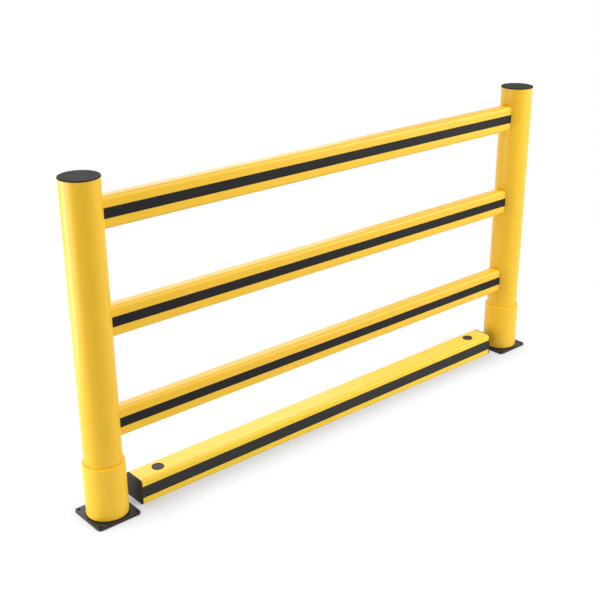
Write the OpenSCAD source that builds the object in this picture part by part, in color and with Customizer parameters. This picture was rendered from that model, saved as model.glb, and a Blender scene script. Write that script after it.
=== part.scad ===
/* [Bay] */
// Distance between the axes of the two posts
post_pitch = 2000; // [900:10:2400]
// Height from the floor to the top of a post cap
overall_h = 1140; // [700:5:1500]

/* [Posts] */
// Outside diameter of a post tube
post_od = 125; // [100:1:200]
// Wall of a post tube
post_wall = 8; // [5:0.5:12]
// How far the lid of a post cap reaches past the tube all round
cap_overhang = 1; // [0:0.5:10]
// Thickness of the lid of a post cap
cap_lid_t = 4; // [2:0.5:10]
// Rounding of the lid's upper edge
cap_lid_r = 1.5; // [0.25:0.25:3.5]
// Depth of the ring under a post cap that plugs the tube
cap_plug_h = 26; // [10:1:60]
// Wall of that ring
cap_plug_wall = 5; // [2:0.5:10]

/* [Post bases] */
// How far the square base plate reaches past the sleeve on each side
plate_border = 10; // [5:1:60]
// Thickness of the base plate
plate_t = 8; // [4:0.5:20]
// Corner radius of the base plate
plate_corner_r = 12; // [2:1:20]
// Distance from the plate's edges to the middle of a floor bolt hole
plate_bolt_edge = 12; // [9:1:25]
// Diameter of the floor bolt holes
plate_bolt_d = 10; // [6:0.5:16]
// Thickness of the black collar between plate and sleeve
collar_t = 2; // [1:0.5:10]
// How far the collar reaches past the sleeve all round
collar_overhang = 0.5; // [0:0.5:5]
// Wall of the sleeve round the foot of a post
sleeve_wall = 7.25; // [4:0.25:20]
// Height of the sleeve
sleeve_h = 190; // [60:1:400]
// Rounding of the sleeve's upper edge
sleeve_top_r = 3.5; // [0.5:0.25:6]
// Rounding of the sleeve's lower edge
sleeve_foot_r = 2.5; // [0.5:0.25:6]
// How far the steel spigot inside a post stops below the sleeve's top
spigot_drop = 12; // [0:1:100]
// Wall of the spigot
spigot_wall = 4; // [2:0.5:10]

/* [Handrails] */
// Gap from a sleeve up to the lowest handrail, and from the highest
// handrail up to the top of the post cap
rail_margin = 72; // [40:1:150]
// Height of a handrail's section
rail_h = 100; // [60:1:200]
// Depth of a handrail's section, front to back
rail_d = 49.5; // [30:0.5:90]
// Radius of a handrail's corners
rail_corner_r = 12; // [2:0.5:20]
// Wall of a handrail
rail_wall = 5; // [2:0.5:10]
// Length of a handrail's end inside the post, from the post's surface
rail_tenon = 45; // [20:1:60]
// Height of the groove for the black strip along each face of a handrail
rail_stripe_h = 33.5; // [15:0.5:70]

/* [Kerb rail] */
// Height of the kerb rail's section
kerb_h = 88; // [60:1:200]
// Depth of the kerb rail's section, front to back
kerb_d = 88; // [70:1:150]
// Radius of the kerb rail's upper corners
kerb_top_r = 10; // [2:0.5:20]
// Radius of the kerb rail's lower corners
kerb_foot_r = 3; // [1:0.5:15]
// Wall of the kerb rail
kerb_wall = 6; // [2:0.5:15]
// How far the kerb rail stands behind the line of the posts
kerb_setback = 8; // [0:0.5:40]
// Clear gap between a kerb end cap and the base plate beside it
kerb_gap = 30; // [5:1:200]
// Height of the lower edge of the black strip's groove above the floor
kerb_stripe_low = 22; // [5:1:40]
// Distance from the groove's upper edge to the kerb's upper face
kerb_stripe_high = 23; // [11:1:40]
// Thickness of an end cap outside the kerb rail
end_cap_t = 6; // [2:0.5:20]
// Depth of the rib of an end cap inside the kerb rail
end_cap_rib_l = 18; // [5:1:60]
// Wall of that rib
end_cap_rib_wall = 3; // [1:0.5:8]
// Distance from a kerb end to the bolt hole and its plug
plug_inset = 97; // [50:1:300]
// Diameter of the stem of a plug
plug_stem_d = 30; // [16:0.5:56]
// Depth of the stem below the kerb's upper face
plug_stem_l = 14; // [8:1:60]
// How far the head of a plug reaches past its stem all round
plug_rim = 6; // [1:0.5:15]
// Thickness of the head of a plug
plug_head_t = 2.5; // [1.5:0.25:8]
// Rounding of the upper edge of a plug's head
plug_head_r = 1.25; // [0.25:0.25:2.25]
// Diameter of the floor bolt hole under a plug
kerb_bolt_d = 14; // [6:0.5:28]

/* [Strips] */
// Thickness of every black strip
stripe_t = 1.5; // [0.5:0.25:3]

/* [Clearances] */
// Gap all round between a post and its sleeve
sleeve_fit = 0.25; // [0.1:0.05:1]
// Gap all round between a post and the spigot inside it
spigot_fit = 0.5; // [0.1:0.05:1]
// Gap all round between a post and the ring of its cap
cap_fit = 0.25; // [0.1:0.05:1]
// Gap round a handrail where it enters a post
rail_fit = 0.5; // [0.1:0.05:1]
// Gap above and below a black strip in its groove
stripe_fit = 0.1; // [0.05:0.05:0.5]
// Gap all round between the kerb rail and the rib of an end cap
end_cap_fit = 0.25; // [0.1:0.05:1]
// Gap all round the stem of a plug
plug_fit = 0.25; // [0.1:0.05:1]

/* [Hidden] */
$fn = 96;

yellow = "#f6c33c";
black = "#2e2d2c";
dark_steel = "#3a3739";

left_x = -post_pitch / 2;
right_x = post_pitch / 2;

post_r = post_od / 2;
post_bore_r = post_r - post_wall;
post_foot_z = plate_t + collar_t;
post_top_z = overall_h - cap_lid_t;

sleeve_bore_r = post_r + sleeve_fit;
sleeve_r = sleeve_bore_r + sleeve_wall;
sleeve_top_z = post_foot_z + sleeve_h;
collar_r = sleeve_r + collar_overhang;
spigot_r = post_bore_r - spigot_fit;
spigot_h = sleeve_top_z - spigot_drop - plate_t;
plate_side = 2 * (sleeve_r + plate_border);
plate_bolt = plate_side / 2 - plate_bolt_edge;

low_z = sleeve_top_z + rail_margin + rail_h / 2;
top_z = overall_h - rail_margin - rail_h / 2;
middle_z = (low_z + top_z) / 2;
rail_end_x = right_x - post_r + rail_tenon;

kerb_end_x = right_x - plate_side / 2 - kerb_gap;
kerb_body_end_x = kerb_end_x - end_cap_t;
kerb_stripe_h = kerb_h - kerb_stripe_low - kerb_stripe_high;
kerb_stripe_z = kerb_stripe_low + kerb_stripe_h / 2;
plug_x = kerb_end_x - plug_inset;

// How far a cutting shape runs past the face it cuts
over = 1;

// A rectangle centred on the origin with one radius at all four corners
module rounded_rectangle(w, h, r) {
    square([w - 2 * r, h], center = true);
    square([w, h - 2 * r], center = true);
    for (x = [-1, 1], y = [-1, 1])
        translate([x * (w / 2 - r), y * (h / 2 - r)]) circle(r);
}

// Outline of the kerb rail's section, standing on y = 0 and centred on
// x = 0, drawn smaller by inset on every side
module kerb_outline(inset = 0) {
    w = kerb_d - 2 * inset;
    h = kerb_h - 2 * inset;
    rt = kerb_top_r - min(inset, kerb_top_r - 1);
    rf = max(kerb_foot_r - inset, 1);
    translate([0, inset]) {
        translate([-w / 2, rf]) square([w, h - rf - rt]);
        translate([-w / 2 + rt, rf]) square([w - 2 * rt, h - rf]);
        translate([-w / 2 + rf, 0]) square([w - 2 * rf, h - rt]);
        for (s = [-1, 1]) {
            translate([s * (w / 2 - rt), h - rt]) circle(rt);
            translate([s * (w / 2 - rf), rf]) circle(rf);
        }
    }
}

// Section of a ring that is turned about the y axis: a wall from ri to ro,
// h high, with its outer edges rounded by r_top and r_foot
module ring_section(ri, ro, h, r_top, r_foot) {
    intersection() {
        translate([ri, 0]) square([ro - ri, h]);
        union() {
            translate([0, r_foot]) square([ro, h - r_foot - r_top]);
            square([ro - r_foot, h - r_top]);
            translate([0, r_foot]) square([ro - r_top, h - r_foot]);
            translate([ro - r_top, h - r_top]) circle(r_top);
            translate([ro - r_foot, r_foot]) circle(r_foot);
        }
    }
}

// Section of a disc that is turned about the y axis: radius r, thickness t,
// with its upper edge rounded by edge_r
module disc_section(r, t, edge_r) {
    intersection() {
        square([r, t]);
        union() {
            square([r - edge_r, t]);
            square([r, t - edge_r]);
            translate([r - edge_r, t - edge_r]) circle(edge_r);
        }
    }
}

// A plain tube that stands at height z
module tube(z, h, ro, ri) {
    translate([0, 0, z]) difference() {
        cylinder(h = h, r = ro);
        translate([0, 0, -over]) cylinder(h = h + 2 * over, r = ri);
    }
}

// A section drawn in x and y, run out along X from x0 to x1, with its x
// turned to Y and its y turned to Z
module along_x(x0, x1) {
    translate([x0, 0, 0]) rotate([90, 0, 90]) linear_extrude(x1 - x0) children();
}

// Square steel plate with a floor bolt hole in each corner
module base_plate(x) {
    color(dark_steel) translate([x, 0, 0]) difference() {
        linear_extrude(plate_t)
            rounded_rectangle(plate_side, plate_side, plate_corner_r);
        for (sx = [-1, 1], sy = [-1, 1])
            translate([sx * plate_bolt, sy * plate_bolt, -over])
                cylinder(h = plate_t + 2 * over, d = plate_bolt_d);
    }
}

// Steel tube on the plate that the post is pushed over
module base_spigot(x) {
    color(dark_steel) translate([x, 0, 0])
        tube(plate_t, spigot_h, spigot_r, spigot_r - spigot_wall);
}

// Flat ring on the plate that the post and its sleeve stand on
module base_collar(x) {
    color(black) translate([x, 0, 0])
        tube(plate_t, collar_t, collar_r, post_bore_r);
}

// Thick sleeve round the foot of the post
module base_sleeve(x) {
    color(yellow) translate([x, 0, post_foot_z]) rotate_extrude()
        ring_section(sleeve_bore_r, sleeve_r, sleeve_h,
                     sleeve_top_r, sleeve_foot_r);
}

// Post tube with one opening for each handrail on the side that faces the
// bay: side is 1 where the bay lies towards +X and -1 where it lies towards -X
module post(x, side) {
    color(yellow) translate([x, 0, 0]) difference() {
        tube(post_foot_z, post_top_z - post_foot_z, post_r, post_bore_r);
        for (z = [low_z, middle_z, top_z])
            mirror([side < 0 ? 1 : 0, 0, 0]) translate([0, 0, z + rail_fit])
                along_x(0, post_od) rounded_rectangle(rail_d + 2 * rail_fit,
                    rail_h + 2 * rail_fit, rail_corner_r + rail_fit);
    }
}

// Flat lid on the post with a ring under it that plugs the tube
module post_cap(x) {
    ring_r = post_bore_r - cap_fit;
    color(black) translate([x, 0, 0]) {
        translate([0, 0, post_top_z]) rotate_extrude()
            disc_section(post_r + cap_overhang, cap_lid_t, cap_lid_r);
        tube(post_top_z - cap_plug_h, cap_plug_h, ring_r, ring_r - cap_plug_wall);
    }
}

// Hollow handrail whose middle is at height z, with a groove in each face
module rail(z) {
    color(yellow) translate([0, 0, z]) along_x(-rail_end_x, rail_end_x)
        difference() {
            rounded_rectangle(rail_d, rail_h, rail_corner_r);
            rounded_rectangle(rail_d - 2 * rail_wall, rail_h - 2 * rail_wall,
                              max(rail_corner_r - rail_wall, 1));
            for (s = [-1, 1])
                translate([s * rail_d / 2, 0])
                    square([2 * stripe_t, rail_stripe_h], center = true);
        }
}

// Black strip in the groove of a handrail: side is -1 in front, 1 behind
module rail_strip(z, side) {
    color(black) translate([0, 0, z]) along_x(-rail_end_x, rail_end_x)
        translate([side * (rail_d - stripe_t) / 2, 0])
            square([stripe_t, rail_stripe_h - 2 * stripe_fit], center = true);
}

// Hollow kerb rail on the floor, with a groove in each face and, near each
// end, a bolt hole below and an opening above to reach it
module kerb_rail() {
    color(yellow) translate([0, kerb_setback, 0]) difference() {
        along_x(-kerb_body_end_x, kerb_body_end_x) difference() {
            kerb_outline();
            kerb_outline(kerb_wall);
            for (s = [-1, 1])
                translate([s * kerb_d / 2, kerb_stripe_z])
                    square([2 * stripe_t, kerb_stripe_h], center = true);
        }
        for (s = [-1, 1]) translate([s * plug_x, 0, 0]) {
            translate([0, 0, -over])
                cylinder(h = kerb_wall + 2 * over, d = kerb_bolt_d);
            translate([0, 0, kerb_h - kerb_wall - over])
                cylinder(h = kerb_wall + 2 * over, r = plug_stem_d / 2 + plug_fit);
        }
    }
}

// Black strip in the groove of the kerb rail: side is -1 in front, 1 behind
module kerb_strip(side) {
    color(black) translate([0, kerb_setback, kerb_stripe_z])
        along_x(-kerb_body_end_x, kerb_body_end_x)
            translate([side * (kerb_d - stripe_t) / 2, 0])
                square([stripe_t, kerb_stripe_h - 2 * stripe_fit], center = true);
}

// Cap over the end of the kerb rail, with a rib that fits inside it: side is
// -1 at the left end, 1 at the right
module kerb_end_cap(side) {
    inner = kerb_wall + end_cap_fit;
    rib_x = kerb_body_end_x - end_cap_rib_l;
    color(black) mirror([side < 0 ? 1 : 0, 0, 0]) translate([0, kerb_setback, 0]) {
        along_x(kerb_body_end_x, kerb_end_x) kerb_outline();
        along_x(rib_x, kerb_body_end_x) difference() {
            kerb_outline(inner);
            kerb_outline(inner + end_cap_rib_wall);
        }
    }
}

// Round plug that closes the opening over a kerb bolt: side is -1 at the
// left end, 1 at the right
module kerb_plug(side) {
    stem_r = plug_stem_d / 2;
    color(black) translate([side * plug_x, kerb_setback, kerb_h]) {
        rotate_extrude()
            disc_section(stem_r + plug_rim, plug_head_t, plug_head_r);
        translate([0, 0, -plug_stem_l]) cylinder(h = plug_stem_l, r = stem_r);
    }
}

module left_base_plate() { base_plate(left_x); }
module left_base_spigot() { base_spigot(left_x); }
module left_base_collar() { base_collar(left_x); }
module left_base_sleeve() { base_sleeve(left_x); }
module left_post() { post(left_x, 1); }
module left_post_cap() { post_cap(left_x); }
module right_base_plate() { base_plate(right_x); }
module right_base_spigot() { base_spigot(right_x); }
module right_base_collar() { base_collar(right_x); }
module right_base_sleeve() { base_sleeve(right_x); }
module right_post() { post(right_x, -1); }
module right_post_cap() { post_cap(right_x); }
module top_rail() { rail(top_z); }
module top_rail_front_strip() { rail_strip(top_z, -1); }
module top_rail_back_strip() { rail_strip(top_z, 1); }
module middle_rail() { rail(middle_z); }
module middle_rail_front_strip() { rail_strip(middle_z, -1); }
module middle_rail_back_strip() { rail_strip(middle_z, 1); }
module low_rail() { rail(low_z); }
module low_rail_front_strip() { rail_strip(low_z, -1); }
module low_rail_back_strip() { rail_strip(low_z, 1); }
module kerb_front_strip() { kerb_strip(-1); }
module kerb_back_strip() { kerb_strip(1); }
module kerb_left_end_cap() { kerb_end_cap(-1); }
module kerb_right_end_cap() { kerb_end_cap(1); }
module kerb_left_plug() { kerb_plug(-1); }
module kerb_right_plug() { kerb_plug(1); }

left_base_plate();
left_base_spigot();
left_base_collar();
left_base_sleeve();
left_post();
left_post_cap();
right_base_plate();
right_base_spigot();
right_base_collar();
right_base_sleeve();
right_post();
right_post_cap();
top_rail();
top_rail_front_strip();
top_rail_back_strip();
middle_rail();
middle_rail_front_strip();
middle_rail_back_strip();
low_rail();
low_rail_front_strip();
low_rail_back_strip();
kerb_rail();
kerb_front_strip();
kerb_back_strip();
kerb_left_end_cap();
kerb_right_end_cap();
kerb_left_plug();
kerb_right_plug();
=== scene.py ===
import math

import bmesh
import bpy
import numpy as np
from mathutils import Matrix, Vector


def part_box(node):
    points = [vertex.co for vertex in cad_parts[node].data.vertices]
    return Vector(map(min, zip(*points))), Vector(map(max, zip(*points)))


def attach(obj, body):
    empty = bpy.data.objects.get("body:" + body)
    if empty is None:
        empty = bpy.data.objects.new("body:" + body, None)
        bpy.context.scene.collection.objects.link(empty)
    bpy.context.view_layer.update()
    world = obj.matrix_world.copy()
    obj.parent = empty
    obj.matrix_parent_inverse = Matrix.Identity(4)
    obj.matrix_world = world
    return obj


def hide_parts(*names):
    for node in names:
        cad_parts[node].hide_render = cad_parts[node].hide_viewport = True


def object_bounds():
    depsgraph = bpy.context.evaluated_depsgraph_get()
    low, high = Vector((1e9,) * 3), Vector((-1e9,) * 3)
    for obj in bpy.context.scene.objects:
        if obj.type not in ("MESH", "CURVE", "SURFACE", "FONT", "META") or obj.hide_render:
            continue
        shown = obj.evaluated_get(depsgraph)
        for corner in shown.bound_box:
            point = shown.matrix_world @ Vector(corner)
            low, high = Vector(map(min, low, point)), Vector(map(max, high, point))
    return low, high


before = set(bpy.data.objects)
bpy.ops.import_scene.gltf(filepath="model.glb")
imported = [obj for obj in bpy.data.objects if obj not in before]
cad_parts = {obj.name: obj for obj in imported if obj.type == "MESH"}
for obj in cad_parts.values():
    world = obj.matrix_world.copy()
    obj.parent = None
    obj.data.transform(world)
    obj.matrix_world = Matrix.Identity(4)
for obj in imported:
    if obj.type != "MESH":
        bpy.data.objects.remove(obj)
cad_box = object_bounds()

# ---------------------------------------------------------------------------
# Base plates. Each post stands on a square plate of 8 mm steel, laser cut with
# round corners and a bolt hole in each, deburred and powder coated black.
# ---------------------------------------------------------------------------
MM = 0.001
TURN = 2 * math.pi
weld_distance = 0.002 * MM
smooth_angle = math.radians(35)


def skin(rows, closed_rows=False, closed_columns=True):
    """Points and four-sided faces of a grid of points, given as rows of columns.

    A face joins four neighbours on the grid, and looks along the direction of
    the columns crossed with that of the rows. A closed way round ends where it
    began.
    """
    grid = np.asarray(rows, float)
    m, n = grid.shape[:2]
    number = np.arange(m * n).reshape(m, n)
    if closed_rows:
        number = np.vstack([number, number[:1]])
    if closed_columns:
        number = np.hstack([number, number[:, :1]])
    faces = np.stack([number[:-1, :-1], number[:-1, 1:],
                      number[1:, 1:], number[1:, :-1]], axis=-1)
    return grid.reshape(-1, 3), faces.reshape(-1, 4)


def make_piece(name, skins, material, node):
    """One piece from its skins, welded where they meet, in place of a CAD node."""
    starts = np.cumsum([0] + [len(points) for points, _ in skins])
    points = np.vstack([points for points, _ in skins])
    faces = np.vstack([faces + start for (_, faces), start in zip(skins, starts)])
    mesh = bpy.data.meshes.new(name)
    mesh.from_pydata(points, [], faces.tolist())
    welder = bmesh.new()
    welder.from_mesh(mesh)
    bmesh.ops.remove_doubles(welder, verts=welder.verts, dist=weld_distance)
    welder.to_mesh(mesh)
    welder.free()
    mesh.shade_smooth()
    mesh.set_sharp_from_angle(angle=smooth_angle)
    mesh.materials.append(material)
    piece = bpy.data.objects.new(name, mesh)
    bpy.context.scene.collection.objects.link(piece)
    # The large flat faces keep their own direction beside the small roundings
    flats = piece.modifiers.new("flats_stay_flat", "WEIGHTED_NORMAL")
    flats.keep_sharp = True
    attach(piece, "root")
    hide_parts(node)
    return piece


def linear(hex_colour):
    """An sRGB hex colour as the linear red, green, blue and alpha of a socket."""
    srgb = np.array([int(hex_colour[i : i + 2], 16) for i in (1, 3, 5)]) / 255
    rgb = np.where(srgb <= 0.04045, srgb / 12.92, ((srgb + 0.055) / 1.055) ** 2.4)
    return (*rgb.tolist(), 1.0)


def add_node(tree, kind, inputs=None, **settings):
    """Adds a node. Each input is a plain value or the output that feeds it."""
    node = tree.nodes.new(kind)
    for name, value in settings.items():
        setattr(node, name, value)
    for name, value in (inputs or {}).items():
        if isinstance(value, bpy.types.NodeSocket):
            tree.links.new(value, node.inputs[name])
        else:
            node.inputs[name].default_value = value
    return node


def new_material(name):
    """A material with an empty node tree."""
    material = bpy.data.materials.new(name)
    material.use_nodes = True
    material.node_tree.nodes.clear()
    return material


def add_grain(tree, size, stretch=(1, 1, 1)):
    """Noise from 0 to 1 whose spots are size metres across, times stretch."""
    place = add_node(tree, "ShaderNodeTexCoord").outputs["Object"]
    scale = [1 / (size * along) for along in stretch]
    place = add_node(tree, "ShaderNodeMapping", {"Vector": place, "Scale": scale})
    noise = add_node(tree, "ShaderNodeTexNoise", {"Vector": place.outputs[0],
                     "Scale": 1.0, "Detail": 2.0, "Roughness": 0.55})
    return noise.outputs[0]


def finish_surface(tree, tone, colours, roughness, relief, gloss=0.5, ior=1.5):
    """A glossy surface whose colour and roughness run together with a tone.

    The tone is a noise. The middle of its range, from 0.3 to 0.7, is taken to
    the two ends of both pairs, and what lies outside it stays at an end.
    """
    share = add_node(tree, "ShaderNodeMapRange",
                     {"Value": tone, "From Min": 0.3, "From Max": 0.7})
    colour = add_node(tree, "ShaderNodeMix", {
        0: share.outputs[0], 6: linear(colours[0]), 7: linear(colours[1])},
        data_type="RGBA")
    rough = add_node(tree, "ShaderNodeMapRange", {
        "Value": tone, "From Min": 0.3, "From Max": 0.7,
        "To Min": roughness[0], "To Max": roughness[1]})
    surface = add_node(tree, "ShaderNodeBsdfPrincipled", {
        "Base Color": colour.outputs[2], "Roughness": rough.outputs[0],
        "Normal": relief.outputs[0], "IOR": ior, "Specular IOR Level": gloss})
    add_node(tree, "ShaderNodeOutputMaterial", {"Surface": surface.outputs[0]})


# Polyester powder coat on steel, sprayed and baked: a satin black with the fine
# swell of orange peel, which breaks up its reflections
powder_coat = new_material("powder_coat_black")
tree = powder_coat.node_tree
peel = add_grain(tree, 1.8 * MM)
cloud = add_grain(tree, 45 * MM)
swell = add_node(tree, "ShaderNodeBump", {"Height": peel, "Strength": 0.35,
                 "Distance": 0.06 * MM})
finish_surface(tree, cloud, ("#1b1a1a", "#242322"), (0.42, 0.52), swell, gloss=0.38)

plate_corner = 12 * MM
plate_edge = 0.8 * MM
bolt_inset = 12 * MM
bolt_radius = 5 * MM
side_points = 8


def plate_quarter(half, inset):
    """A quarter of the plate's outline, drawn inset from its edge.

    It runs up the side at x = half - inset to the round corner, round its arc
    about a fixed centre, and back along y = half - inset to the middle line.
    """
    core = half - plate_corner
    along = core * np.linspace(0, 1, side_points + 1)[:-1]
    angle = np.linspace(0, TURN / 4, side_points + 1)
    bend = core + (plate_corner - inset) * np.column_stack([np.cos(angle), np.sin(angle)])
    side = np.column_stack([np.full(side_points, half - inset), along])
    return np.vstack([side, bend, side[::-1, ::-1]])


def at_height(outline, z):
    """A flat outline lifted to a height."""
    return np.column_stack([outline, np.full(len(outline), z)])


def quarter_turns(points):
    """The points turned about the origin by none, one, two and three quarters."""
    angle = np.arange(4) * TURN / 4
    c, s, o = np.cos(angle), np.sin(angle), np.zeros(4)
    turns = np.array([[c, s, o], [-s, c, o], [o, o, o + 1]]).transpose(2, 0, 1)
    return np.einsum("...j,kji->k...i", points, turns)


def plate_skins(low, high):
    """The skins of the plate that fills a box between two corners.

    Four sheets lie round the four bolt holes. Along the ray from a hole's middle
    to a point of the quarter's outline, a sheet runs inwards on top, down the
    hole over two small chamfers, and outwards on the underside. The rim carries
    a round edge, a side and a round edge along the whole outline.
    """
    half = (high.x - low.x) / 2
    thick = high.z - low.z
    middle = np.array([(low.x + high.x) / 2, (low.y + high.y) / 2, low.z])
    outer = plate_quarter(half, plate_edge)
    inner = np.linspace(1, 0, side_points + 1)[1:, None] * [0, half - plate_edge]
    outline = np.vstack([outer, inner, inner[-2::-1, ::-1]])
    hole = np.full(2, half - bolt_inset)
    ray = outline - hole
    ray /= np.linalg.norm(ray, axis=1, keepdims=True)
    lip = hole + (bolt_radius + plate_edge) * ray
    wall = hole + bolt_radius * ray
    sheet = np.stack([
        at_height(outline, thick), at_height(lip, thick),
        at_height(wall, thick - plate_edge), at_height(wall, plate_edge),
        at_height(lip, 0), at_height(outline, 0)])
    angle = np.linspace(0, TURN / 4, 5)
    inset = plate_edge * (1 - np.sin(angle))
    lift = plate_edge * (1 - np.cos(angle))
    rim = [at_height(plate_quarter(half, i)[:-1], z) for i, z in
           [*zip(inset, lift), *zip(inset[::-1], thick - lift[::-1])]]
    rim = quarter_turns(np.stack(rim)).transpose(1, 0, 2, 3).reshape(len(rim), -1, 3)
    return [skin(turned + middle) for turned in quarter_turns(sheet)] + [skin(rim + middle)]


for side in ("left", "right"):
    node = f"{side}_base_plate"
    make_piece(f"{side}_plate", plate_skins(*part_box(node)), powder_coat,
               node)
    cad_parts[f"{side}_base_spigot"].data.materials[0] = powder_coat

# ---------------------------------------------------------------------------
# Base collars. A thin black ring of moulded polymer lies on each plate, under
# the foot of the post and of its sleeve, and shows as a dark line round them.
# ---------------------------------------------------------------------------
AROUND = 128


def rounded_outline(corners, radii, steps=6):
    """A closed outline whose corners are arcs, as an array of points.

    At a corner P with unit vectors a and b towards its neighbours and half the
    angle between them h, the arc of radius r has its centre at
    P + (a + b) / |a + b| * r / sin(h). It runs between the two tangent points
    r / tan(h) from P, as a spherical blend of the two radii to them.
    """
    corner = np.asarray(corners, float)
    radius = np.broadcast_to(np.asarray(radii, float), len(corner))[:, None]
    a = np.roll(corner, 1, axis=0) - corner
    b = np.roll(corner, -1, axis=0) - corner
    a /= np.linalg.norm(a, axis=1, keepdims=True)
    b /= np.linalg.norm(b, axis=1, keepdims=True)
    half = np.arccos(np.clip((a * b).sum(1, keepdims=True), -1, 1)) / 2
    middle = (a + b) / np.linalg.norm(a + b, axis=1, keepdims=True)
    centre = corner + middle * radius / np.sin(half)
    start = corner + a * radius / np.tan(half) - centre
    end = corner + b * radius / np.tan(half) - centre
    sweep = (math.pi - 2 * half)[:, None]
    u = np.linspace(0, 1, steps + 1)[None, :, None]
    arc = np.sin((1 - u) * sweep) * start[:, None] + np.sin(u * sweep) * end[:, None]
    return (centre[:, None] + arc / np.sin(sweep)).reshape(-1, 2)


def turned_skin(corners, radii, axis_xy, ring):
    """A lathe shape: a rounded outline in radius and height, turned about an axis.

    A point at radius r and height z goes to (x + r cos t, y + r sin t, z). The
    outline of a ring closes on itself. That of a disc starts and ends on the axis.
    """
    profile = rounded_outline(corners, radii)
    t = np.linspace(0, TURN, AROUND, endpoint=False)
    r, z = profile[:, :1], profile[:, 1:]
    rows = np.stack([axis_xy[0] + r * np.cos(t), axis_xy[1] + r * np.sin(t),
                     z + 0 * t], axis=-1)
    return skin(rows, closed_rows=ring)


def box_sizes(node):
    """The axis, outer radius, foot and top of a round node that stands upright."""
    low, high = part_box(node)
    axis = ((low.x + high.x) / 2, (low.y + high.y) / 2)
    return axis, (high.x - low.x) / 2, low.z, high.z


def moulded_polypropylene(name, colours, roughness, gloss):
    """Polypropylene moulded in a spark-eroded tool.

    The tool leaves an even fine grain that turns the gloss into a grey sheen,
    and the flow of the melt a slow cloud in the tone.
    """
    material = new_material(name)
    tree = material.node_tree
    grain = add_grain(tree, 1.2 * MM)
    cloud = add_grain(tree, 30 * MM)
    dimples = add_node(tree, "ShaderNodeBump", {"Height": grain, "Strength": 0.4,
                       "Distance": 0.05 * MM})
    finish_surface(tree, cloud, colours, roughness, dimples, gloss, ior=1.49)
    return material


# Black with a satin sheen, on the collars and on the kerb's end caps and plugs
moulded_black = moulded_polypropylene("moulded_polypropylene_black",
                                      ("#201f1f", "#292827"), (0.46, 0.54), gloss=0.26)
collar_edge = 0.6 * MM
post_wall = 8 * MM
for side in ("left", "right"):
    node = f"{side}_base_collar"
    axis, radius, foot, top = box_sizes(node)
    bore = box_sizes(f"{side}_post")[1] - post_wall
    make_piece(
        f"{side}_collar",
        [turned_skin([(bore, foot), (radius, foot), (radius, top), (bore, top)],
                     [0, collar_edge, collar_edge, 0], axis, ring=True)],
        moulded_black, node)

# ---------------------------------------------------------------------------
# Base sleeves. A thick-walled yellow sleeve of moulded polyethylene is pushed
# over each post and stands on the collar. Its mouth and foot are rounded.
# ---------------------------------------------------------------------------
# Polyethylene coloured through, moulded: a warm signal yellow with a little
# cloudiness, and a satin skin with the slightest orange peel
moulded_yellow = new_material("moulded_polyethylene_yellow")
tree = moulded_yellow.node_tree
grain = add_grain(tree, 1.6 * MM)
wave = add_grain(tree, 22 * MM)
cloud = add_grain(tree, 90 * MM)
# The grain stands a quarter as high as the wave
uneven = add_node(tree, "ShaderNodeMath", {0: grain, 1: 0.25, 2: wave},
                  operation="MULTIPLY_ADD")
dimples = add_node(tree, "ShaderNodeBump", {"Height": uneven.outputs[0],
                   "Strength": 0.3, "Distance": 0.12 * MM})
finish_surface(tree, cloud, ("#f4c01c", "#f7c420"), (0.34, 0.42), dimples)

sleeve_clearance = 0.25 * MM
sleeve_mouth = 3.5 * MM
sleeve_foot = 2.5 * MM
sleeve_lip = 0.8 * MM
for side in ("left", "right"):
    node = f"{side}_base_sleeve"
    axis, radius, foot, top = box_sizes(node)
    bore = box_sizes(f"{side}_post")[1] + sleeve_clearance
    make_piece(
        f"{side}_sleeve",
        [turned_skin([(bore, foot), (radius, foot), (radius, top), (bore, top)],
                     [sleeve_lip, sleeve_foot, sleeve_mouth, sleeve_lip],
                     axis, ring=True)],
        moulded_yellow, node)

# ---------------------------------------------------------------------------
# Posts. Each is one extruded yellow tube, 125 mm across, with an opening
# routed in its side for each handrail. It slides over the steel spigot.
# ---------------------------------------------------------------------------


def extruded_polymer(name, colours, stretch, roughness, gloss=0.5):
    """A polymer coloured through and extruded along the stretched axis.

    The die leaves faint lines a few millimetres wide that run the whole length,
    and the cooling bath a slow wave. Both move the gloss more than the colour.
    """
    material = new_material(name)
    tree = material.node_tree
    line = add_grain(tree, 5 * MM, stretch)
    fine = add_grain(tree, 1.4 * MM, stretch)
    wave = add_grain(tree, 70 * MM)
    height = add_node(tree, "ShaderNodeMath", {0: fine, 1: 0.3, 2: line},
                      operation="MULTIPLY_ADD")
    lines = add_node(tree, "ShaderNodeBump", {"Height": height.outputs[0],
                     "Strength": 0.3, "Distance": 0.05 * MM})
    both = add_node(tree, "ShaderNodeMath", {0: wave, 1: line}, operation="ADD")
    tone = add_node(tree, "ShaderNodeMath", {0: both.outputs[0], 1: 0.5},
                    operation="MULTIPLY")
    finish_surface(tree, tone.outputs[0], colours, roughness, lines, gloss)
    return material


# A die line runs 160 times as far along as across
draw = 160
extruded_yellows = ("#eebb16", "#f2c01c")
yellow_roughness = (0.33, 0.41)
upright_yellow = extruded_polymer("extruded_polymer_yellow_upright",
                                  extruded_yellows, (1, 1, draw), yellow_roughness)
for side in ("left", "right"):
    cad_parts[f"{side}_post"].data.materials[0] = upright_yellow

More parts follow.
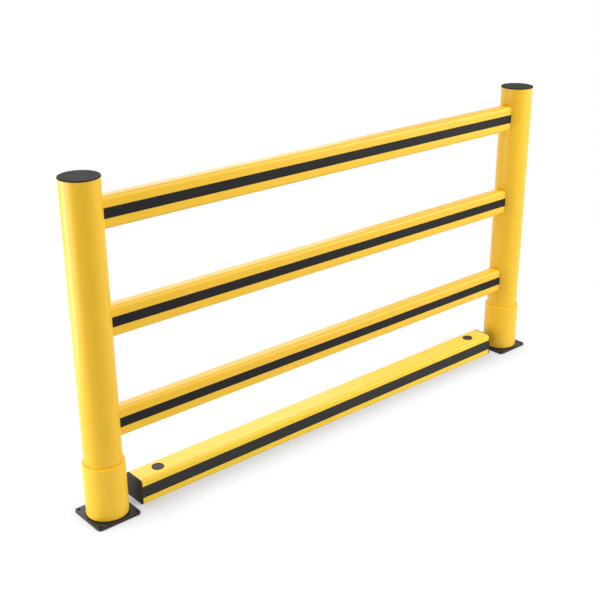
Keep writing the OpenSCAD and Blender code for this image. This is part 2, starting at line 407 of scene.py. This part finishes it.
# ---------------------------------------------------------------------------
# Post caps. A flat black lid with a rounded rim closes each post. The ring
# under it plugs the tube. The lid is moulded, and bare.
# ---------------------------------------------------------------------------
# The lids come from a matt tool, which leaves a flat black that hardly shines
matt_black = moulded_polypropylene("moulded_polypropylene_matt_black",
                                   ("#201f1e", "#282725"), (0.62, 0.72), gloss=0.12)
lid_thick = 4 * MM
lid_rim = 1.5 * MM
lid_under = 0.3 * MM
cap_clearance = 0.25 * MM
cap_ring_wall = 5 * MM
cap_ring_edge = 0.5 * MM
cap_ring_lead = 1 * MM
for side in ("left", "right"):
    node = f"{side}_post_cap"
    axis, radius, foot, top = box_sizes(node)
    seat = top - lid_thick
    ring = box_sizes(f"{side}_post")[1] - post_wall - cap_clearance
    make_piece(
        f"{side}_lid",
        [turned_skin(
            [(0, seat), (ring - cap_ring_wall, seat), (ring - cap_ring_wall, foot),
             (ring, foot), (ring, seat), (radius, seat), (radius, top), (0, top)],
            [0, cap_ring_edge, cap_ring_edge, cap_ring_lead, 0, lid_under, lid_rim, 0],
            axis, ring=False)],
        matt_black, node)

# ---------------------------------------------------------------------------
# Handrails. Three hollow extruded sections run from post to post, with their
# ends inside the tubes. Each face has a flat-bottomed groove for its strip.
# ---------------------------------------------------------------------------
along_yellow = extruded_polymer("extruded_polymer_yellow_along", extruded_yellows,
                                (draw, 1, 1), yellow_roughness)
rail_corner = 12 * MM
rail_wall = 5 * MM
rail_inner_corner = rail_corner - rail_wall
groove_play = 0.1 * MM
groove_lip = 0.5 * MM


def carried(section, x):
    """An outline in y and z as a row of points at one place along X."""
    return np.column_stack([np.full(len(section), x), section])


for level in ("top", "middle", "low"):
    node = f"{level}_rail"
    low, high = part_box(node)
    strip_low, strip_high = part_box(f"{node}_front_strip")
    half_d, half_h = (high.y - low.y) / 2, (high.z - low.z) / 2
    half_groove = (strip_high.z - strip_low.z) / 2 + groove_play
    bed = half_d - (strip_high.y - strip_low.y)
    middle = np.array([(low.y + high.y) / 2, (low.z + high.z) / 2])
    back = [(half_d, -half_h), (half_d, -half_groove), (bed, -half_groove),
            (bed, half_groove), (half_d, half_groove), (half_d, half_h)]
    corners = np.array(back + [(-y, -z) for y, z in back])
    radii = [rail_corner, groove_lip, groove_lip / 2, groove_lip / 2, groove_lip,
             rail_corner] * 2
    outside = rounded_outline(corners, radii, steps=12)
    # Each inner point lies on the same ray from its corner's centre
    core = np.clip(outside, [rail_corner - half_d, rail_corner - half_h],
                   [half_d - rail_corner, half_h - rail_corner])
    ray = outside - core
    inside = core + ray / np.linalg.norm(ray, axis=1, keepdims=True) * rail_inner_corner
    outside, inside = outside + middle, inside + middle
    make_piece(
        f"{level}_handrail",
        [skin([carried(outside, low.x), carried(outside, high.x),
               carried(inside, high.x), carried(inside, low.x)], closed_rows=True)],
        along_yellow, node)

# ---------------------------------------------------------------------------
# Handrail strips. A band of black polymer is pressed into each groove and lies
# flush with the face, with its long edges slightly eased.
# ---------------------------------------------------------------------------
along_black = extruded_polymer("extruded_polymer_black_along", ("#111110", "#181716"),
                               (draw, 1, 1), (0.46, 0.56), gloss=0.18)
strip_edge = 0.35 * MM


def fit_strip(node, name, material):
    """A flat band with eased edges that fills the node's box, closed at its ends."""
    low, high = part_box(node)
    outline = rounded_outline([(high.y, low.z), (high.y, high.z), (low.y, high.z),
                               (low.y, low.z)], strip_edge)
    heart = np.broadcast_to(outline.mean(0), outline.shape)
    make_piece(name, [skin([carried(heart, low.x), carried(outline, low.x),
                            carried(outline, high.x), carried(heart, high.x)])],
               material, node)


for level in ("top", "middle", "low"):
    for face in ("front", "back"):
        fit_strip(f"{level}_rail_{face}_strip", f"{level}_{face}_band", along_black)

# ---------------------------------------------------------------------------
# Kerb rail. A heavier hollow extrusion lies on the floor between the posts,
# with a wide groove and black band on each face, bolted down near each end.
# ---------------------------------------------------------------------------
# The kerb rail's yellow is painted a little lighter and more lemon than the handrails',
# standing in for the extra light that falls on its faces
kerb_yellow_painted_lighter = extruded_polymer("extruded_polymer_yellow_kerb_painted_lighter", ("#f7cd20", "#fad226"),
                               (draw, 1, 1), yellow_roughness)
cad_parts["kerb_rail"].data.materials[0] = kerb_yellow_painted_lighter
# Its bands are drawn a shade lighter and a little glossier than the handrails'
kerb_black = extruded_polymer("extruded_polymer_black_kerb", ("#252524", "#2d2c2b"),
                              (draw, 1, 1), (0.5, 0.6), gloss=0.25)
for face in ("front", "back"):
    fit_strip(f"kerb_{face}_strip", f"kerb_{face}_band", kerb_black)

# ---------------------------------------------------------------------------
# Kerb end caps. A black moulded cap closes each end of the kerb rail: a flat
# flange with the section's outline, and a rib that grips inside it. It is bare.
# ---------------------------------------------------------------------------
kerb_low, kerb_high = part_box("kerb_rail")
kerb_top_corner = 10 * MM
kerb_foot_corner = 3 * MM
flange_edge = 1.3 * MM
kerb_wall = 6 * MM
rib_clearance = 0.25 * MM
rib_wall = 3 * MM
rib_outside = kerb_wall + rib_clearance
rib_inside = rib_outside + rib_wall
least_corner = 0.8 * MM


def kerb_outline(inset):
    """The kerb's section drawn smaller by an inset, its corners rounder outside."""
    left, right = kerb_low.y + inset, kerb_high.y - inset
    foot, top = kerb_low.z + inset, kerb_high.z - inset
    upper = max(kerb_top_corner - inset, least_corner)
    lower = max(kerb_foot_corner - inset, least_corner)
    return rounded_outline([(right, foot), (right, top), (left, top), (left, foot)],
                           [lower, upper, upper, lower], steps=8)


angle = np.linspace(0, TURN / 4, 5)
for side, sign in (("left", -1), ("right", 1)):
    node = f"kerb_{side}_end_cap"
    low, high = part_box(node)
    rib_end, face = (low.x, high.x) if sign > 0 else (high.x, low.x)
    body_end = kerb_high.x if sign > 0 else kerb_low.x
    heart = np.broadcast_to(kerb_outline(rib_inside).mean(0), kerb_outline(0).shape)
    rows = [carried(heart, body_end), carried(kerb_outline(rib_inside), body_end),
            carried(kerb_outline(rib_inside), rib_end),
            carried(kerb_outline(rib_outside), rib_end),
            carried(kerb_outline(rib_outside), body_end),
            carried(kerb_outline(0), body_end)]
    rows += [carried(kerb_outline(flange_edge * (1 - math.cos(a))),
                     face - sign * flange_edge * (1 - math.sin(a))) for a in angle]
    rows += [carried(heart, face)]
    make_piece(f"kerb_{side}_cap", [skin(rows[::sign])], moulded_black,
               node)

# ---------------------------------------------------------------------------
# Kerb plugs. A round black plug covers the opening over each floor bolt. Its
# stem grips the opening, and its head is a low dish with a rounded rim.
# ---------------------------------------------------------------------------
plug_rim = 6 * MM
plug_under = 0.2 * MM
plug_edge = 1.25 * MM
stem_lead = 1 * MM
dish_depth = 0.6 * MM
dish_lip = 3.2 * MM
dish_foot = 5.12 * MM
lip_round = 0.8 * MM
foot_round = 1.5 * MM
for side in ("left", "right"):
    node = f"kerb_{side}_plug"
    axis, radius, foot, top = box_sizes(node)
    seat = kerb_high.z
    stem = radius - plug_rim
    make_piece(
        f"kerb_{side}_button",
        [turned_skin(
            [(0, foot), (stem, foot), (stem, seat), (radius, seat), (radius, top),
             (radius - dish_lip, top), (radius - dish_foot, top - dish_depth),
             (0, top - dish_depth)],
            [0, stem_lead, 0, plug_under, plug_edge, lip_round, foot_round, 0],
            axis, ring=False)],
        moulded_black, node)

# ---------------------------------------------------------------------------
# The studio. A seamless white floor in a white room, seen by a camera in front
# of the left post, above its cap, that looks along the bay. Soft white lamps
# stand round it, so that the round posts show a bright edge and a quiet middle.
# ---------------------------------------------------------------------------
scene = bpy.context.scene
scene.view_settings.view_transform = "Standard"

# The camera's place is measured from the middle of the bay on the floor
camera_place = (-2.4514, -2.6463, 1.9545)
camera_yaw = 0.7134
camera_pitch = 0.3877
camera_roll = -0.0057
focal_in_frame_widths = 1.76238
camera_data = bpy.data.cameras.new("camera")
camera_data.sensor_width = 36.0
camera_data.lens = camera_data.sensor_width * focal_in_frame_widths
camera_data.clip_end = 200.0
camera = bpy.data.objects.new("camera", camera_data)
scene.collection.objects.link(camera)
camera.matrix_world = (
    Matrix.Translation(camera_place)
    @ Matrix.Rotation(-camera_yaw, 4, "Z")
    @ Matrix.Rotation(TURN / 4 - camera_pitch, 4, "X")
    @ Matrix.Rotation(camera_roll, 4, "Z")
)
scene.camera = camera


def seen_directly(tree):
    """1 for what the camera sees directly or in a gloss or through glass, else 0."""
    path = add_node(tree, "ShaderNodeLightPath")
    gloss = add_node(tree, "ShaderNodeMath", {0: path.outputs["Is Camera Ray"],
                     1: path.outputs["Is Glossy Ray"]}, operation="MAXIMUM")
    clear = add_node(tree, "ShaderNodeMath", {0: gloss.outputs[0],
                     1: path.outputs["Is Transmission Ray"]}, operation="MAXIMUM")
    return clear.outputs[0]


room_light = 0.39
world = bpy.data.worlds.new("white_room")
scene.world = world
world.use_nodes = True
room = world.node_tree
room.nodes.clear()
fill = add_node(room, "ShaderNodeBackground",
                {"Color": linear("#ffffff"), "Strength": room_light})
white = add_node(room, "ShaderNodeBackground",
                 {"Color": linear("#ffffff"), "Strength": 1.0})
shown = add_node(room, "ShaderNodeMixShader",
                 {0: seen_directly(room), 1: fill.outputs[0], 2: white.outputs[0]})
add_node(room, "ShaderNodeOutputWorld", {"Surface": shown.outputs[0]})


def add_lamp(name, place, aim, width, height, watts):
    """A white rectangular softbox, its middle at place, that faces the point aim."""
    data = bpy.data.lights.new(name, "AREA")
    data.shape = "RECTANGLE"
    data.size = width
    data.size_y = height
    data.energy = watts
    lamp = bpy.data.objects.new(name, data)
    scene.collection.objects.link(lamp)
    lamp.location = place
    lamp.rotation_euler = (Vector(aim) - lamp.location).to_track_quat("-Z", "Y").to_euler()


# The left strips draw the bright edge down the left post, the large right
# softbox lights the fronts, and the rest the upper sides
add_lamp("top_softbox", (0.4, -1.6, 3.6), (0, 0, 0.5), 3.0, 1.2, 55)
add_lamp("back_panel", (1.2, 3.4, 2.4), (-0.4, 0, 0.6), 3.6, 1.6, 14)
add_lamp("back_low_panel", (0.5, 3.0, 1.4), (-0.2, 0, 0.3), 4.0, 1.0, 33)
add_lamp("right_softbox", (2.9, -2.6, 1.8), (0.6, 0, 0.6), 2.0, 2.4, 82)
add_lamp("left_strip", (-2.6, 0.3, 0.9), (-1.0, 0, 0.55), 0.5, 2.0, 17)
add_lamp("left_edge_strip", (-1.9, 0.8, 0.6), (-1.0, 0, 0.5), 0.25, 1.2, 11)

# The floor lies a hair below the plates, so that their undersides don't flicker
floor_drop = 0.4 * MM
floor_half = 30.0
floor_z = cad_box[0].z - floor_drop
floor_corners = np.array([[-1, -1], [1, -1], [1, 1], [-1, 1]]) * floor_half
floor_mesh = bpy.data.meshes.new("floor")
floor_mesh.from_pydata(at_height(floor_corners, floor_z), [], [(0, 1, 2, 3)])
floor = bpy.data.objects.new("floor", floor_mesh)
scene.collection.objects.link(floor)

# Matt white paper. Seen directly near the barrier, most of its shade is painted: it glows a
# neutral grey painted shadow, dimmer where little of the white room can reach, mixed with a
# share lit by the lamps whose white leans a little blue against the yellow light the
# barrier throws on it. It runs out into the white of the room. The fade is measured in
# metres from a place in front of the bay, and more slowly along the bay than across it
open_reach = 0.32
open_gain = 1.2
painted_shadow_share = 0.7
fade_centre = (0, 0.5, 0)
fade_pace = (0.45, 1, 0)
fade_start = 0.6
fade_end = 1.1
paper = new_material("matt_white_paper")
tree = paper.node_tree
plain = add_node(tree, "ShaderNodeBsdfDiffuse", {"Color": linear("#e8e8e8")})
lit = add_node(tree, "ShaderNodeBsdfDiffuse", {"Color": linear("#f2f5ff")})
openness = add_node(tree, "ShaderNodeAmbientOcclusion", {"Distance": open_reach},
                    samples=8)
openness = add_node(tree, "ShaderNodeMath", {0: openness.outputs["AO"], 1: open_gain},
                    operation="MULTIPLY")
# A painted shadow: the floor glows white by how open it is to the room, so it turns grey
# close to the barrier
painted_shadow = add_node(tree, "ShaderNodeEmission", {"Strength": openness.outputs[0]})
near = add_node(tree, "ShaderNodeMixShader",
                {0: painted_shadow_share, 1: lit.outputs[0], 2: painted_shadow.outputs[0]})
far = add_node(tree, "ShaderNodeEmission", {"Strength": 1.0})
place = add_node(tree, "ShaderNodeTexCoord").outputs["Object"]
place = add_node(tree, "ShaderNodeMapping", {"Vector": place, "Scale": fade_pace,
                 "Location": fade_centre})
away = add_node(tree, "ShaderNodeVectorMath", {0: place.outputs[0]}, operation="LENGTH")
fade = add_node(tree, "ShaderNodeMapRange", {"Value": away.outputs["Value"],
                "From Min": fade_start, "From Max": fade_end})
visible = add_node(tree, "ShaderNodeMixShader", {0: fade.outputs[0], 1: near.outputs[0],
                   2: far.outputs[0]})
shown = add_node(tree, "ShaderNodeMixShader", {0: seen_directly(tree),
                 1: plain.outputs[0], 2: visible.outputs[0]})
add_node(tree, "ShaderNodeOutputMaterial", {"Surface": shown.outputs[0]})
floor_mesh.materials.append(paper)
